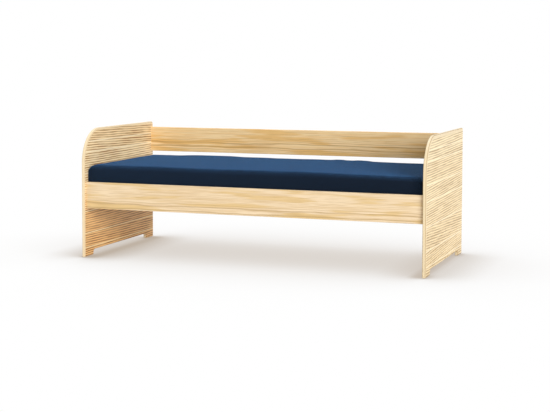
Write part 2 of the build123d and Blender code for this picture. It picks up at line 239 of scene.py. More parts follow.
def left_over(amount):
    """One minus the amount."""
    return maths("SUBTRACT", 1.0, amount)


broad_shade = maths("MINIMUM", maths("MULTIPLY_ADD", openness(shade_reach), shade_slope, shade_base), 1.0)
touch_force = between(floor_place["X"], -panel_place, panel_place, touch_left, touch_right)
beyond = between(floor_place["X"], -beyond_place, -panel_place, beyond_drop, 0.0)
touch_force = maths("SUBTRACT", touch_force, beyond)
touch_shade = left_over(maths("MULTIPLY", left_over(openness(touch_reach)), touch_force))
light_share = maths("MULTIPLY", broad_shade, maths("MAXIMUM", touch_shade, 0.0))
off_line = maths("ABSOLUTE", maths("SUBTRACT", maths("ABSOLUTE", floor_place["X"]), line_place))
beside = between(maths("ABSOLUTE", floor_place["Y"]), line_front, line_stop, 1.0, 0.0)
panel_line = maths("MULTIPLY", beside, between(off_line, line_start, line_end, line_force, 0.0))
light_share = maths("MULTIPLY", light_share, left_over(panel_line))
length_inputs = {"Vector": floor_paint.place}
away = floor_paint.add("ShaderNodeVectorMath", length_inputs, operation="LENGTH").outputs["Value"]
light_share = maths("MAXIMUM", light_share, between(away, fade_start, fade_end))
print("floor shade looks", shade_reach, "m and", touch_reach, "m round")

# %% [markdown]
# The kind of ray then chooses between the floor's two sides: a glow in the tone of the shade for the rays
# that see it, and plain matt paint for the light.

# %% Floor finish
floor_tone = floor_paint.mix(light_share, shade_tone, (1.0, 1.0, 1.0, 1.0))
plain_floor = floor_paint.add("ShaderNodeBsdfDiffuse", {"Color": (0.82, 0.79, 0.75, 1.0)})
seen_floor = floor_paint.add("ShaderNodeEmission", {"Color": floor_tone, "Strength": 1.0})
floor_mix = floor_paint.add("ShaderNodeMixShader")
floor_tree.links.new(backdrop_rays(floor_tree), floor_mix.inputs[0])
floor_tree.links.new(plain_floor.outputs[0], floor_mix.inputs[1])
floor_tree.links.new(seen_floor.outputs[0], floor_mix.inputs[2])
floor_tree.links.new(floor_mix.outputs[0], floor_tree.nodes["Material Output"].inputs["Surface"])
floor_data.materials.append(floor_paint.material)
print("floor finished")

# %% [markdown]
# The world is the white room round the bed. Like the floor it has two sides: the room that lights the bed
# has a plain level, and the backdrop that the camera sees is white.

# %% World
surround = 0.48  # how strongly the white room lights the bed
world = bpy.data.worlds.new("white_room")
world.use_nodes = True
bpy.context.scene.world = world
sky = world.node_tree
room = sky.nodes["Background"]
room.inputs["Color"].default_value = (1.0, 0.995, 0.985, 1.0)
room.inputs["Strength"].default_value = surround
backdrop = sky.nodes.new("ShaderNodeBackground")
backdrop.inputs["Color"].default_value = (1.0, 1.0, 1.0, 1.0)
backdrop.inputs["Strength"].default_value = 1.0
sky_mix = sky.nodes.new("ShaderNodeMixShader")
sky.links.new(backdrop_rays(sky), sky_mix.inputs[0])
sky.links.new(room.outputs[0], sky_mix.inputs[1])
sky.links.new(backdrop.outputs[0], sky_mix.inputs[2])
sky.links.new(sky_mix.outputs[0], sky.nodes["World Output"].inputs["Surface"])
print("white room at", surround)

# %% [markdown]
# Two soft lamps give the light a direction. A very large one stands far away in front of the right-hand
# end, and a smaller one hangs over the bed. Both are so large for their distance that their shadows have
# soft edges.


# %% Lamps
def soft_box(name, place, target, size, power):
    """A square area lamp that faces the target."""
    lamp = bpy.data.lights.new(name, "AREA")
    lamp.size = size
    lamp.energy = power
    stand = bpy.data.objects.new(name, lamp)
    stand.location = place
    stand.rotation_euler = (Vector(target) - Vector(place)).to_track_quat("-Z", "Y").to_euler()
    bpy.context.scene.collection.objects.link(stand)
    return stand


soft_box("front_lamp", (32.5, -32.0, 11.4), (0, 0, 0.45), 26.0, 19200)
soft_box("top_lamp", (-1.0, 1.4, 6.0), (0, 0.1, 0), 4.0, 185)
print("lamps placed")

# %% [markdown]
# ## Pine
# Pine shows the tree's growth rings: a broad pale band for spring, then a thin amber line for late
# summer. A board is a flat cut through a stack of such rings, so the honest way to draw it is to work out
# each point's distance from the pith, the line at the tree's centre. Where the face lies square to the
# rings the lines run straight and close, and where it lies along them they spread out and wave. Turned by
# numbers, one formula gives the rails, the back board and the battens, and the pattern goes round the
# edges as it does in solid wood.

# %% Growth rings
ring_pitch = 0.0075
ripple_size = 0.006  # how far the small ripples shift a ring


def growth_rings(wood, along, pith, wander, shift):
    """The late-wood lines, a tone for every ring, and the distance from a pith that wanders along the grain.

    The pith is a pair of places on the two axes across the grain, and wander is how far it strays on each."""
    axis = wood.axes(wood.place)
    across = [k for k in range(3) if k != along]
    slow = [0.0, 0.0, 0.0]
    slow[along] = 3.2
    squares = []
    for turn, k in enumerate(across):
        stray = wood.noise(tuple(slow), (shift + 7.3 * turn, 3.1, 5.7 * turn), detail=2.5)
        stray = wood.maths("MULTIPLY", wood.maths("SUBTRACT", stray, 0.5), 2 * wander[turn])
        reach = wood.maths("ADD", wood.maths("SUBTRACT", axis[k], pith[turn]), stray)
        squares.append(wood.maths("MULTIPLY", reach, reach))
    radius = wood.maths("SQRT", wood.maths("ADD", *squares))
    ripple_scale = [40.0, 40.0, 40.0]
    ripple_scale[along] = 4.0
    ripple = wood.noise(tuple(ripple_scale), (shift, shift, 0.0), detail=2.0)
    rippled = wood.maths("ADD", radius, wood.maths("MULTIPLY", ripple, ripple_size))
    count = wood.maths("DIVIDE", rippled, ring_pitch)
    year = wood.maths("FLOOR", count)
    part = wood.maths("SUBTRACT", count, year)
    tone = wood.random(wood.maths("ADD", year, shift))
    late = wood.maths("MULTIPLY", wood.between(part, 0.40, 0.85), wood.between(part, 0.90, 1.0, 1.0, 0.0))
    return late, tone, radius


print("rings every", ring_pitch, "m")

# %% [markdown]
# The boards are cut with the pith a few centimetres behind their face. Near that line one ring runs along
# the board in slow waves with patches of golden heartwood beside it, and further off the rings only show
# as fine, broken streaks. Two stretched noises draw those: one for the streaks and one for the patches.

# %% Board finish
heart_depth = 0.030  # from a board's face to the pith


def pine_board(name, face, heart, shift, pale, cream, gold, amber):
    """Planed and lacquered pine with its grain along X. Heart is the height at which the pith runs."""
    wood = Finish(name)
    late, tone, radius = growth_rings(wood, 0, (face + heart_depth, heart), (0.0025, 0.010), shift)
    near = wood.between(radius, heart_depth + 0.002, heart_depth + 0.026, 1.0, 0.0)
    streak = wood.noise((3.4, 70.0, 105.0), (shift, 0, 0), detail=2.0, roughness=0.6)
    broad = wood.noise((2.6, 24.0, 34.0), (0, shift, shift), detail=2.0)
    broken = wood.noise((9.0, 30.0, 60.0), (shift, 4.0, 0), detail=1.0)
    fibre = wood.noise((18.0, 900.0, 900.0), (0, 0, 0), detail=2.0)
    body = wood.mix(wood.between(streak, 0.38, 0.60), cream, pale)
    body = wood.mix(wood.between(broad, 0.50, 0.64, 0.0, 0.8), body, gold)
    body = wood.mix(wood.maths("MULTIPLY", near, wood.between(broad, 0.48, 0.58, 0.0, 0.7)), body, gold)
    force = wood.between(tone, 0.1, 0.9, 0.25, 0.6)
    force = wood.maths("MULTIPLY", force, wood.between(broken, 0.35, 0.6, 0.25, 1.0))
    force = wood.maths("MAXIMUM", force, wood.maths("MULTIPLY", near, 0.75))
    body = wood.mix(wood.maths("MULTIPLY", late, force), body, amber)
    body = wood.mix(wood.between(fibre, 0.2, 0.8, 0.10, 0.0), body, amber)
    relief = wood.maths("ADD", wood.maths("MULTIPLY", late, 0.6), fibre)
    wood.bump(relief, 0.00012)
    gloss = wood.between(late, 0.0, 1.0, 0.46, 0.38)
    return wood.finish(body, gloss, IOR=1.5, Specular_IOR_Level=0.35, Coat_Weight=0.10, Coat_Roughness=0.28)


rail_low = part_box("front_rail")[0]
rear_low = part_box("rear_rail")[0]
back_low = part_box("back_board")[0]
rail_tones = (
    (0.86, 0.69, 0.47, 1.0), (0.76, 0.575, 0.35, 1.0), (0.74, 0.525, 0.24, 1.0), (0.45, 0.29, 0.12, 1.0)
)
back_tones = (
    (0.99, 0.74, 0.41, 1.0), (0.95, 0.66, 0.325, 1.0), (0.88, 0.54, 0.185, 1.0), (0.49, 0.27, 0.085, 1.0)
)
board_finishes = {
    "front_rail": pine_board("front_rail_pine", rail_low.y, rail_low.z + 0.024, 1.7, *rail_tones),
    "rear_rail": pine_board("rear_rail_pine", rear_low.y, rear_low.z + 0.070, 4.9, *rail_tones),
    "back_board": pine_board("back_board_pine", back_low.y, back_low.z + 0.050, 8.3, *back_tones),
}
print("board finishes", len(board_finishes))

# %% [markdown]
# ## The end panels
# An end panel is glued up from strips of random width with their grain running front to back, and the
# strips are cut so that the rings meet the face square. Their lines are straight, so the rings can be
# drawn as plain stripes in Z. They are drawn wider than late wood really is, because finer ones vanish at
# the camera's distance. Counting the seams below a point gives the number of its strip, and random values
# for that number give the strip a tone, a phase and a pitch, and let its grain rise or fall a little
# towards the back. The seams show as thin pale lines. A second, uneven set of stripes comes from a noise
# that is stretched along the grain, and breaks the even beat of the first.

# %% Panel finish
seam_heights = (0.055, 0.140, 0.270, 0.406, 0.496, 0.620, 0.681)  # where two strips are glued together
stripe_pitch = 0.0132
seam_half, seam_fade = 0.0014, 0.0036  # from a seam's middle, where it begins to fade and where it has gone
run_out = 0.04  # the most that a strip's grain rises or falls for each metre from front to back
arc_radius = 0.200
panel_low, panel_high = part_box("left_panel")


def rim_reach(wood):
    """How far a point of a panel lies towards its rounded outline: arc_radius at the very edge."""
    axis = wood.axes(wood.place)
    forward = wood.maths("MAXIMUM", wood.maths("SUBTRACT", panel_low.y + arc_radius, axis["Y"]), 0.0)
    upward = wood.maths("MAXIMUM", wood.maths("SUBTRACT", axis["Z"], panel_high.z - arc_radius), 0.0)
    squares = [wood.maths("MULTIPLY", way, way) for way in (forward, upward)]
    return wood.maths("SQRT", wood.maths("ADD", *squares))


def pine_panel(name, shift, pale, warm, dark, painted_shade_warm, painted_shade_dark, painted_shade_seam, rim_width, edge_tone, painted_arris_shade):
    """Lacquered panel of glued strips with their grain along Y. Its painted-shade tones darken the lower
    part.
    """
    wood = Finish(name)
    high = wood.axes(wood.place)["Z"]
    strip = 0.0
    seam = 0.0
    for seam_height in seam_heights:
        strip = wood.maths("ADD", strip, wood.maths("GREATER_THAN", high, seam_height))
        off = wood.maths("ABSOLUTE", wood.maths("SUBTRACT", high, seam_height))
        seam = wood.maths("MAXIMUM", seam, wood.between(off, seam_half, seam_fade, 1.0, 0.0))
    tone = wood.random(wood.maths("ADD", strip, shift))
    drift = wood.noise((3.0, 0.9, 4.0), (shift, 0, 0), detail=2.0)
    shiver = wood.noise((3.0, 4.0, 30.0), (0, shift, 0), detail=2.0)
    turn = wood.random(wood.maths("ADD", strip, shift + 3.7))
    rise = wood.maths("MULTIPLY", wood.maths("SUBTRACT", turn, 0.5), 2 * run_out)
    height = wood.maths("ADD", high, wood.maths("MULTIPLY", rise, wood.axes(wood.place)["Y"]))
    pitch = wood.between(turn, 0.0, 1.0, 0.97 * stripe_pitch, 1.05 * stripe_pitch)
    count = wood.maths("DIVIDE", height, pitch)
    count = wood.maths("ADD", count, wood.maths("MULTIPLY", tone, 7.0))
    count = wood.maths("ADD", count, wood.maths("MULTIPLY", drift, 1.6))
    count = wood.maths("ADD", count, wood.maths("MULTIPLY", shiver, 0.5))
    part = wood.maths("FRACT", count)
    late = wood.maths("MULTIPLY", wood.between(part, 0.34, 0.50), wood.between(part, 0.88, 1.0, 1.0, 0.0))
    uneven = wood.between(wood.noise((3.0, 2.4, 130.0), (shift, 0, shift), detail=1.0), 0.46, 0.58)
    dash = wood.noise((20.0, 7.0, 60.0), (0, 0, shift), detail=1.0)
    area = wood.noise((4.0, 2.2, 7.0), (shift, shift, 0), detail=1.0)
    force = wood.between(dash, 0.32, 0.60, 0.6, 1.0)
    force = wood.maths("MULTIPLY", force, wood.between(area, 0.3, 0.7, 0.8, 1.0))
    stripes = wood.maths("ADD", wood.maths("MULTIPLY", late, 0.90), wood.maths("MULTIPLY", uneven, 0.25))
    sideways = wood.axes(wood.normal)["X"]
    facing = wood.maths("ABSOLUTE", sideways)
    face = wood.between(facing, 0.55, 0.98)
    rubbed = wood.between(rim_reach(wood), arc_radius - rim_width, arc_radius - rim_width / 2, 1.0, 0.25)
    face = wood.maths("MULTIPLY", face, rubbed)
    force = wood.maths("MULTIPLY", force, stripes)
    force = wood.maths("MULTIPLY", force, wood.between(face, 0.0, 1.0, 0.15, 1.0))
    # Painted shade: the lower part turns darker and redder, mostly on the inner face, below the rail.
    low = wood.between(high, 0.24, 0.42, 1.0, 0.0)
    low = wood.maths("MULTIPLY", low, wood.between(sideways, -0.5, 0.5, 0.25, 1.0))
    body = wood.mix(tone, pale, warm)
    body = wood.mix(low, body, painted_shade_warm)
    body = wood.mix(force, body, wood.mix(low, dark, painted_shade_dark))
    body = wood.mix(seam, body, wood.mix(low, rubbed_seam, painted_shade_seam))
    body = wood.mix(wood.between(face, 0.0, 1.0, 0.9, 0.0), body, edge_tone)
    fibre = wood.noise((700.0, 16.0, 900.0), (0, 0, 0), detail=2.0)
    body = wood.mix(wood.between(fibre, 0.2, 0.8, 0.08, 0.0), body, dark)
    # Painted shade: a thin dark line along the rounded arris, stronger on the right panel.
    arris = wood.between(facing, 0.15, 0.40)
    arris = wood.maths("MULTIPLY", arris, wood.between(facing, 0.96, 0.998, 1.0, 0.0))
    body = wood.mix(wood.maths("MULTIPLY", arris, painted_arris_shade), body, dark)
    relief = wood.maths("ADD", wood.maths("MULTIPLY", late, 0.8), fibre)
    wood.bump(relief, 0.00012)
    gloss = wood.between(late, 0.0, 1.0, 0.50, 0.42)
    return wood.finish(body, gloss, IOR=1.5, Specular_IOR_Level=0.30, Coat_Weight=0.05, Coat_Roughness=0.28)


pale_strip = (0.98, 0.83, 0.54, 1.0)
warm_strip = (0.97, 0.78, 0.475, 1.0)
dark_ring = (0.42, 0.28, 0.12, 1.0)
# Partly a tone of its own, partly painted shade: the left panel is warmer and deeper than the right.
straw_strip = (1.0, 0.84, 0.54, 1.0)
gold_strip = (1.0, 0.76, 0.43, 1.0)
gold_ring = (0.38, 0.19, 0.060, 1.0)
# Painted shade: tones for the lower part of the left panel, where the rail and mattress shade it.
painted_shade_strip = (0.97, 0.60, 0.25, 1.0)
painted_shade_ring = (0.32, 0.125, 0.025, 1.0)
rubbed_seam = (1.0, 0.86, 0.60, 1.0)
painted_shade_seam = (1.0, 0.80, 0.46, 1.0)
left_edge = (0.83, 0.685, 0.450, 1.0)
# Painted shade: the right edge tone is darker than the left's, offsetting the lamp's stronger light.
right_edge_painted_shade = (0.78, 0.645, 0.425, 1.0)
board_finishes["left_panel"] = pine_panel(
    "left_panel_pine", 0.031, straw_strip, gold_strip, gold_ring, painted_shade_strip, painted_shade_ring, painted_shade_seam, 0.012,
    left_edge, 0.35
)
board_finishes["right_panel"] = pine_panel(
    "right_panel_pine", 0.417, pale_strip, warm_strip, dark_ring, warm_strip, dark_ring, rubbed_seam, 0.026,
    right_edge_painted_shade, 0.95
)
print("panels glued from", len(seam_heights) + 1, "strips")

# %% [markdown]
# ## Slats and ledges
# These pieces are only planed, not lacquered, and nobody sees them once the mattress is in. Plain sawn
# pine is duller and rougher than the boards. One finish serves all sixteen slats, because the pattern is
# solid: each slat cuts it in another place and so comes out with lines and a tone of its own.


# %% Sawn pine
def sawn_pine(name, along, pith, wander, shift, tone_rate):
    """Planed pine without lacquer, with its grain along the given axis."""
    wood = Finish(name)
    late, tone, _ = growth_rings(wood, along, pith, (wander, wander), shift)
    fine = [700.0, 700.0, 700.0]
    fine[along] = 14.0
    fibre = wood.noise(tuple(fine), (0, 0, shift), detail=3.0)
    piece = wood.noise(tone_rate, (shift, 0, 0), detail=0.0)
    body = wood.mix(piece, (0.80, 0.62, 0.39, 1.0), (0.70, 0.50, 0.28, 1.0))
    force = wood.maths("MULTIPLY", late, wood.between(tone, 0.0, 1.0, 0.2, 0.6))
    body = wood.mix(force, body, (0.50, 0.30, 0.13, 1.0))
    body = wood.mix(wood.between(fibre, 0.25, 0.75, 0.22, 0.0), body, (0.50, 0.31, 0.15, 1.0))
    wood.bump(fibre, 0.00025)
    return wood.finish(body, wood.between(fibre, 0.2, 0.8, 0.72, 0.58), IOR=1.5)


slat_finish = sawn_pine("slat_pine", 1, (0.37, 0.30), 0.02, 2.2, (9.0, 0.0, 0.0))
ledge_finish = sawn_pine("ledge_pine", 0, (0.10, 0.30), 0.01, 6.4, (0.8, 2.0, 0.0))
dowel_finish = sawn_pine("dowel_beech", 0, (0.0, 0.0), 0.01, 9.1, (0.0, 2.0, 9.0))
print("sawn finishes ready")

# %% [markdown]
# ## Fittings
# Small steel and nylon parts need little: what makes them read as metal or plastic is how rough they are.
# Zinc plating is smooth with a faint cloudy bloom, a die-cast cam is grainier, and moulded nylon scatters
# light softly.


# %% Metal and nylon
def plated_metal(name, colour, low_rough, high_rough, grain):
    """Zinc-coloured metal with a cloudy bloom."""
    metal = Finish(name)
    bloom = metal.noise((120.0, 120.0, 120.0), detail=3.0)
    pits = metal.noise((1500.0, 1500.0, 1500.0), detail=2.0)
    tint = metal.mix(metal.between(bloom, 0.3, 0.7), colour, tuple(0.8 * c for c in colour[:3]) + (1.0,))
    metal.bump(pits, grain)
    return metal.finish(tint, metal.between(bloom, 0.3, 0.7, low_rough, high_rough), Metallic=1.0)


def moulded_nylon(name, colour):
    """Moulded plastic with a fine matt texture."""
    nylon = Finish(name)
    spark = nylon.noise((900.0, 900.0, 900.0), detail=2.0)
    cloud = nylon.noise((60.0, 60.0, 60.0), detail=2.0)
    tint = nylon.mix(nylon.between(cloud, 0.3, 0.7), colour, tuple(0.88 * c for c in colour[:3]) + (1.0,))
    nylon.bump(spark, 0.00005)
    return nylon.finish(tint, nylon.between(spark, 0.2, 0.8, 0.42, 0.56), IOR=1.53)


steel_finish = plated_metal("zinc_plate", (0.66, 0.66, 0.63, 1.0), 0.24, 0.38, 0.00002)
casting_finish = plated_metal("zinc_casting", (0.52, 0.53, 0.54, 1.0), 0.38, 0.52, 0.00006)
slider_finish = plated_metal("blackened_metal", (0.10, 0.11, 0.13, 1.0), 0.25, 0.40, 0.00002)
sleeve_finish = moulded_nylon("white_nylon", (0.78, 0.78, 0.75, 1.0))
glide_finish = moulded_nylon("grey_nylon", (0.52, 0.47, 0.39, 1.0))
print("fittings finished")

# %% [markdown]
# ## Finishes on the model
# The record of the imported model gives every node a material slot. The two rails, the back board and the
# two end panels have a finish of their own, and other nodes take the finish of their slot. The soft
# pieces and the zip get none here, because they are modelled again below.

# %% Put each finish on its node
finish_of_slot = {
    "pine_batten": ledge_finish,
    "pine_slat": slat_finish,
    "beech": dowel_finish,
    "zinc_steel": steel_finish,
    "zinc_casting": casting_finish,
    "white_nylon": sleeve_finish,
    "grey_nylon": glide_finish,
    "slider_metal": slider_finish,
}
for row in frame["record"]["subparts"]:
    name = row["node"]
    finish = board_finishes.get(name) or finish_of_slot.get(row["material_slot"])
    if finish:
        for slot in nodes[name].material_slots:
            slot.material = finish
print("finishes assigned")

# %% [markdown]
# ## Fabric
# The cover is a tight, smooth navy weave. Seen from straight ahead such cloth is nearly black, and seen
# along its surface it glows blue, because the fuzz on the threads catches the light. The Principled
# shader's sheen does that. The weave itself is two sets of fine ribs that cross. One sine wave for each
# axis works on every side of the mattress, since each side lies along two of the three axes.

# %% Woven cloth
thread_pitch = 0.0013


def woven_cloth(name, dark, light, weave_depth=0.00018, **constants):
    """Close-woven cloth with ribs along all three axes."""
    cloth = Finish(name)
    ribs = []
    for value in cloth.axes(cloth.place):
        ribs.append(cloth.maths("SINE", cloth.maths("MULTIPLY", value, 2 * pi / thread_pitch)))
    weave = cloth.maths("ADD", cloth.maths("ADD", ribs[0], ribs[1]), ribs[2])
    melange = cloth.noise((420.0, 420.0, 420.0), detail=3.0, roughness=0.7)
    patch = cloth.noise((3.0, 5.0, 5.0), detail=2.0)
    colour = cloth.mix(cloth.between(melange, 0.3, 0.7), dark, light)
    colour = cloth.mix(cloth.between(patch, 0.3, 0.7, 0.0, 0.25), colour, dark)
    cloth.bump(cloth.maths("ADD", weave, melange), weave_depth)
    constants.setdefault("Specular_IOR_Level", 0.06)
    return cloth.finish(colour, cloth.between(melange, 0.2, 0.8, 0.86, 0.74), IOR=1.4, **constants)


navy = woven_cloth(
    "navy_cover", (0.0044, 0.0050, 0.0064, 1.0), (0.0068, 0.0078, 0.0100, 1.0),
    Sheen_Weight=0.50, Sheen_Roughness=0.50, Sheen_Tint=(0.13, 0.42, 1.0, 1.0)
)
thread = woven_cloth(
    "navy_thread", (0.016, 0.030, 0.060, 1.0), (0.024, 0.042, 0.080, 1.0),
    Sheen_Weight=0.3, Sheen_Roughness=0.4, Sheen_Tint=(0.3, 0.5, 1.0, 1.0)
)
webbing = woven_cloth(
    "undyed_webbing", (0.56, 0.52, 0.44, 1.0), (0.72, 0.69, 0.60, 1.0), 0.0003, Sheen_Weight=0.2
)
tape = woven_cloth("zip_tape", (0.008, 0.013, 0.026, 1.0), (0.013, 0.021, 0.040, 1.0), Sheen_Weight=0.2)
print("cloth with a thread every", thread_pitch, "m")

# %% [markdown]
# ## The mattress
# A foam block in a sewn cover isn't a box: the cover pulls the edges round, the top swells a little
# between them, and only the underside is flat, where it lies on the slats. The way here is to start from
# a slightly small rounded block, remesh it evenly and let a cloth simulation blow it up against the cover
# for a few frames. The points may move only so far, so the mattress keeps its size.

# %% Mattress block
mattress_low = Vector(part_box("mattress_cover_base")[0])
mattress_high = Vector(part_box("mattress_cover_top")[1])
mattress_middle = (mattress_low + mattress_high) / 2
start_inset = 0.0015
corner_radius = 0.009
edge_radius = 0.034


def add_box(shape, size, centre):
    """Adds a box to a bmesh."""
    points = bmesh.ops.create_cube(shape, size=1.0)["verts"]
    bmesh.ops.scale(shape, vec=size, verts=points)
    bmesh.ops.translate(shape, vec=centre, verts=points)


def round_off(shape, edges, offset, segments):
    """Rounds edges of a bmesh."""
    bmesh.ops.bevel(
        shape, geom=edges, offset=offset, offset_type="OFFSET", affect="EDGES",
        segments=segments, profile=0.5, material=-1
    )


def rounded_block(low, high, corner, edge):
    """A bmesh block with rounded upright corners and rounded rims."""
    block = bmesh.new()
    add_box(block, high - low, (low + high) / 2)
    rims = [e for e in block.edges if abs(e.verts[0].co.z - e.verts[1].co.z) < 1e-6]
    round_off(block, rims, edge, 8)
    upright = [e for e in block.edges if abs(e.verts[0].co.z - e.verts[1].co.z) > edge]
    round_off(block, upright, corner, 5)
    return block


inset = Vector((start_inset, start_inset, start_inset))
left_swell = 0.0042  # how far the left end presses into its gap
block_low = mattress_low + Vector((start_inset - left_swell, start_inset, 0))
block = rounded_block(block_low, mattress_high - inset, corner_radius, edge_radius)
mattress_data = bpy.data.meshes.new("mattress_cover")
block.to_mesh(mattress_data)
block.free()
mattress = bpy.data.objects.new("mattress_cover", mattress_data)
bpy.context.scene.collection.objects.link(mattress)
print("block", len(mattress_data.vertices), "points")

# %% [markdown]
# The simulation needs an even mesh, so the block is remeshed first. Then the cloth swells under pressure
# while its underside is held, and afterwards every point's move is limited on each axis.


# %% Remesh and inflate
def baked(piece):
    """Replaces a piece's mesh by what its modifiers make of it, and takes the modifiers off."""
    graph = bpy.context.evaluated_depsgraph_get()
    shaped = bpy.data.meshes.new_from_object(piece.evaluated_get(graph))
    piece.modifiers.clear()
    piece.data = shaped
    return shaped


voxel = 0.010
remesh = mattress.modifiers.new("even_mesh", "REMESH")
remesh.mode = "VOXEL"
remesh.voxel_size = voxel
baked(mattress)
print("remeshed to", len(mattress.data.vertices), "points")

swell_limit = 0.006  # the most that a point moves outward on an axis
pull_limit = 0.0015  # and inward
hold_height = 0.004  # the cover is held below this height over its underside
swell_frames = 20
before = [v.co.copy() for v in mattress.data.vertices]
resting = mattress.vertex_groups.new(name="resting")
held = [v.index for v in mattress.data.vertices if v.co.z < mattress_low.z + hold_height]
resting.add(held, 1.0, "REPLACE")
cloth = mattress.modifiers.new("cover", "CLOTH")
cloth.settings.quality = 4
cloth.settings.mass = 0.3
cloth.settings.use_pressure = True
cloth.settings.uniform_pressure_force = 4.0
cloth.settings.tension_stiffness = 15.0
cloth.settings.compression_stiffness = 15.0
cloth.settings.vertex_group_mass = "resting"
cloth.settings.effector_weights.gravity = 0.0
cloth.collision_settings.use_collision = False
cloth.point_cache.frame_start = 1
cloth.point_cache.frame_end = swell_frames
for step in range(1, swell_frames + 1):
    bpy.context.scene.frame_set(step)
baked(mattress)
bpy.context.scene.frame_set(1)
for vertex, start in zip(mattress.data.vertices, before):
    move = vertex.co - start
    outward = start - mattress_middle
    for k in range(3):
        limit = swell_limit if move[k] * outward[k] > 0 else pull_limit
        move[k] = min(max(move[k], -limit), limit)
    vertex.co = start + move
print("mattress inflated")

# %% [markdown]
# ## Settling the cover
# The inflated block still has to lie in the bed: flat on the slats, and clear of the boards and panels.
# Foam also never ends in a ruler-straight edge, so slow waves of a few millimetres run along the top. The
# cover is bunched up in three places along the rear edge, and its top lies a little lower at the right-
# hand end. All this fades out towards the underside. The upright corners are made squarer than the
# remeshed block leaves them, and the sides are held within the place that the bed leaves.

# %% Waves and limits
rim_lift = 0.0026  # the most that the top edge rises or falls
wave_rate, ripple_rate = 3.4, 11.0
ripple_share = 0.35
end_droop = 0.0055  # how much lower the top lies at the right-hand end
droop_start, droop_end = 0.35, 0.75  # the stretch of X over which it goes down
bunch_depth = 0.12  # how far the bunches reach forward from the rear edge

# Where the cover is bunched up along the rear edge: middle and half length in X, and the rise there
bunches = ((-0.55, 0.19, 0.0050), (0.28, 0.035, 0.0035), (0.43, 0.050, 0.0040))


def edge_wave(x, y):
    """A slow wave in metres, for a place on the top."""
    wave = noise.noise((x * wave_rate, y * wave_rate, 4.7))
    ripple = noise.noise((x * ripple_rate, y * ripple_rate, 1.3))
    height = rim_lift * (wave + ripple_share * ripple)
    backward = min(max((y - mattress_high.y) / bunch_depth + 1.0, 0.0), 1.0)
    for middle, half, rise in bunches:
        height += backward * rise * exp(-((x - middle) / half) ** 6)
    along = min(max((x - droop_start) / (droop_end - droop_start), 0.0), 1.0)
    return height - end_droop * along * along * (3 - 2 * along)


corner_reach = 0.027  # the length of side over which an upright corner is squared up
corner_power = 6  # the higher, the squarer
corner_fade = 0.018  # the squaring fades out over this height below the top


def square_up(place, low, high):
    """Moves a point near an upright corner outward, from a round corner to a nearly square one."""
    ways = []
    for k in range(2):
        side = low[k] if place[k] < (low[k] + high[k]) / 2 else high[k]
        ways.append((side, 1 if side == low[k] else -1, max(corner_reach - abs(place[k] - side), 0.0)))
    if min(way[2] for way in ways) > 0:
        round_reach = sum(way[2] ** 2 for way in ways) ** 0.5
        square_reach = sum(way[2] ** corner_power for way in ways) ** (1 / corner_power)
        fade = min(max((high.z - place.z) / corner_fade, 0.0), 1.0)
        grow = 1 + (round_reach / square_reach - 1) * fade
        for k, (side, inward, depth) in enumerate(ways):
            place[k] = side + inward * (corner_reach - depth * grow)


side_low = mattress_low - Vector((left_swell, 0, 0))
for vertex in mattress.data.vertices:
    place = vertex.co
    square_up(place, side_low, mattress_high)
    share = min(max((place.z - mattress_middle.z) / (mattress_high.z - mattress_middle.z), 0.0), 1.0)
    place.z += share * edge_wave(place.x, place.y)
    place.x = min(max(place.x, side_low.x), mattress_high.x)
    place.y = min(max(place.y, side_low.y), mattress_high.y)
    place.z = max(place.z, mattress_low.z)

smoother = mattress.modifiers.new("smooth", "SUBSURF")
smoother.levels = 1
smoother.render_levels = 1
baked(mattress)
for polygon in mattress.data.polygons:
    polygon.use_smooth = True
mattress.data.materials.clear()
mattress.data.materials.append(navy)
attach(mattress, "mattress")
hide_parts("mattress_core", "mattress_cover_top", "mattress_cover_base")
print("mattress faces", len(mattress.data.polygons))

# %% [markdown]
# ## Piping and its stitches
# The top panel of the cover is sewn to the sides with a thin piping between them. It has to lie exactly
# on the swollen cloth, so its route is found by rays: from the middle of the rounded edge, a ray goes out
# at a fixed slope at every station round the mattress, and where it leaves the cloth the piping lies. The
# same rays at a lower slope place the stitches.


# %% Stations round the mattress
def stations(pitch):
    """Places round the top edge: the centre of the rounded edge, and the level direction out of it."""
    turn = max(corner_radius, edge_radius)
    reach = (mattress_high - mattress_low) / 2 - Vector((turn, turn, edge_radius))
    corners = []
    for quarter, (side_x, side_y) in enumerate(((1, -1), (1, 1), (-1, 1), (-1, -1))):
        corner = mattress_middle + Vector((side_x * reach.x, side_y * reach.y, reach.z))
        for step in range(7):
            angle = radians(90 * (quarter - 1 + step / 6))
            out = Vector((cos(angle), sin(angle), 0))
            corners.append((corner + out * (turn - edge_radius), out))
    places = []
    for k, (start, out) in enumerate(corners):
        end, next_out = corners[(k + 1) % len(corners)]
        count = max(1, round((end - start).length / pitch))
        for step in range(count):
            share = step / count
            places.append((start.lerp(end, share), out.lerp(next_out, share).normalized()))
    return places


cover_shape = bmesh.new()
cover_shape.from_mesh(mattress.data)
cover_tree = BVHTree.FromBMesh(cover_shape)
cover_shape.free()


def on_cover(centre, out, slope):
    """Where a ray from the edge's centre leaves the cloth, and the ray's direction."""
    ray = out * cos(radians(slope)) + Vector((0, 0, sin(radians(slope))))
    return cover_tree.ray_cast(centre, ray)[0], ray


piping_slope = 66
stitch_slope = 52
around = stations(0.010)
print("stations", len(around))

# %% [markdown]
# The piping is one closed curve with a round section that lies a little way into the cloth.

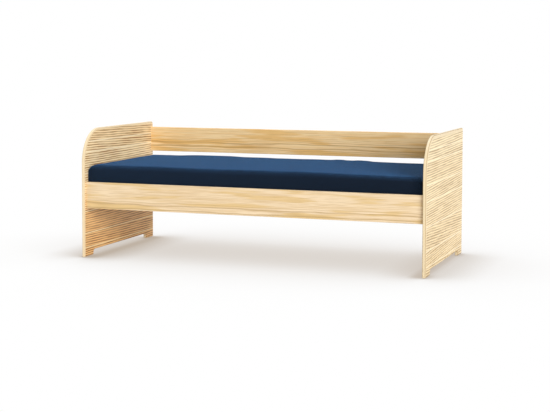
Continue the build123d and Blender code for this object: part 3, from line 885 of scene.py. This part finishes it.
# %% Piping
piping_radius = 0.0020
piping_sink = 0.2  # how far its middle lies inside the cloth, as a share of its radius
piping_curve = bpy.data.curves.new("cover_piping", "CURVE")
piping_curve.dimensions = "3D"
piping_curve.bevel_depth = piping_radius
piping_curve.bevel_resolution = 2
route = piping_curve.splines.new("NURBS")
route.points.add(len(around) - 1)
for point, (centre, out) in zip(route.points, around):
    hit, ray = on_cover(centre, out, piping_slope)
    place = hit - ray * piping_radius * piping_sink
    point.co = (place.x, place.y, place.z, 1.0)
route.use_cyclic_u = True
route.order_u = 3
piping = bpy.data.objects.new("cover_piping", piping_curve)
bpy.context.scene.collection.objects.link(piping)
piping_curve.materials.append(navy)
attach(piping, "mattress")
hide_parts("top_piping")
print("piping points", len(route.points))

# %% [markdown]
# The stitches lie below the piping, each a small ellipsoid that is turned along the seam. The helper that
# makes a finished piece out of a mesh comes first, because the zip and the straps use it too.


# %% Stitches
def new_piece(name, shape, finish, body, smooth=True):
    """Turns a bmesh into an object with a finish that rides on a body."""
    data = bpy.data.meshes.new(name)
    bmesh.ops.recalc_face_normals(shape, faces=shape.faces)
    for face in shape.faces:
        face.smooth = smooth
    shape.to_mesh(data)
    shape.free()
    data.materials.append(finish)
    piece = bpy.data.objects.new(name, data)
    bpy.context.scene.collection.objects.link(piece)
    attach(piece, body)
    print(name, len(data.polygons), "faces")
    return piece


def turned_to(place, direction, up, size):
    """A matrix that puts a unit shape at a place, its X along the direction and its Z up, at a size."""
    x = direction.normalized()
    y = up.cross(x).normalized()
    z = x.cross(y)
    matrix = Matrix((x * size[0], y * size[1], z * size[2])).transposed().to_4x4()
    matrix.translation = place
    return matrix


stitch_pitch = 0.0048
stitch_size = (0.0016, 0.0005, 0.00035)  # half length, half width, half height
stitches = bmesh.new()
for centre, out in stations(stitch_pitch):
    hit, ray = on_cover(centre, out, stitch_slope)
    direction = Vector((-out.y, out.x, 0))
    matrix = turned_to(hit, direction, ray, stitch_size)
    bmesh.ops.create_icosphere(stitches, subdivisions=1, radius=1.0, matrix=matrix)
new_piece("piping_stitches", stitches, thread, "mattress")

# %% [markdown]
# ## The zip
# The lower part of the cover comes off with a zip at the right-hand end. A zip is two tapes that lie edge
# to edge, with a row of small teeth down the middle that come from the two tapes in turn. A short loop
# places the teeth, each one a little block, and the tapes are thin strips with rounded edges.

# %% Tapes and teeth
zip_low, zip_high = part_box("cover_zip")
zip_middle = (zip_low + zip_high) / 2
tape_width = 0.011
tape_thickness = 0.0007
tape_gap = 0.0003  # half the slit between the tapes
tape_edge = 0.00025
tapes = bmesh.new()
for side in (-1, 1):
    size = Vector((tape_thickness, zip_high.y - zip_low.y, tape_width))
    z = zip_middle.z + side * (tape_width / 2 + tape_gap)
    add_box(tapes, size, Vector((zip_low.x + tape_thickness / 2, zip_middle.y, z)))
round_off(tapes, tapes.edges, tape_edge, 2)
new_piece("zip_tapes", tapes, tape, "mattress")

tooth_pitch = 0.0016
tooth_size = (0.0014, 0.0011, 0.0030)
tooth_offset = 0.0008  # from the zip's middle to the middle of a tooth, up or down in turn
zip_margin = 0.002  # the zip has no teeth this near to its ends
teeth = bmesh.new()
tooth_count = int((zip_high.y - zip_low.y - 2 * zip_margin) / tooth_pitch)
for k in range(tooth_count):
    side = 1 if k % 2 else -1
    y = zip_low.y + zip_margin + k * tooth_pitch
    add_box(teeth, tooth_size, Vector((zip_low.x + tooth_size[0] / 2, y, zip_middle.z + side * tooth_offset)))
tooth_finish = moulded_nylon("dark_nylon", (0.020, 0.028, 0.050, 1.0))
tooth_piece = new_piece("zip_teeth", teeth, tooth_finish, "mattress", smooth=False)
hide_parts("cover_zip")

# %% [markdown]
# ## Straps under the slats
# Two woven straps keep the slats at their spacing, so the whole base can be rolled up. Between two slats
# a strap isn't held by anything and hangs a little. Each is a flat strip of cells along the bed, lowered
# between the slats by half a sine wave and then given its thickness.

# %% Straps
strap_sag = 0.0022
slat_boxes = [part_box(f"slat_{k:02d}") for k in range(1, 17)]


def strap_height(x):
    """How far the strap hangs below the slats at x."""
    for (_, high), (next_low, _) in zip(slat_boxes, slat_boxes[1:]):
        if high.x < x < next_low.x:
            return -strap_sag * sin(pi * (x - high.x) / (next_low.x - high.x))
    return 0.0


for name in ("front_strap", "rear_strap"):
    low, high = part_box(name)
    strap = bmesh.new()
    bmesh.ops.create_grid(strap, x_segments=300, y_segments=4, size=0.5)
    bmesh.ops.scale(strap, vec=(high.x - low.x, high.y - low.y, 1.0), verts=strap.verts)
    bmesh.ops.translate(strap, vec=((low.x + high.x) / 2, (low.y + high.y) / 2, low.z), verts=strap.verts)
    for vertex in strap.verts:
        vertex.co.z += strap_height(vertex.co.x)
    bmesh.ops.solidify(strap, geom=strap.faces, thickness=low.z - high.z)
    piece = new_piece(name + "_webbing", strap, webbing, "slat_base", smooth=False)
    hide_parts(name)
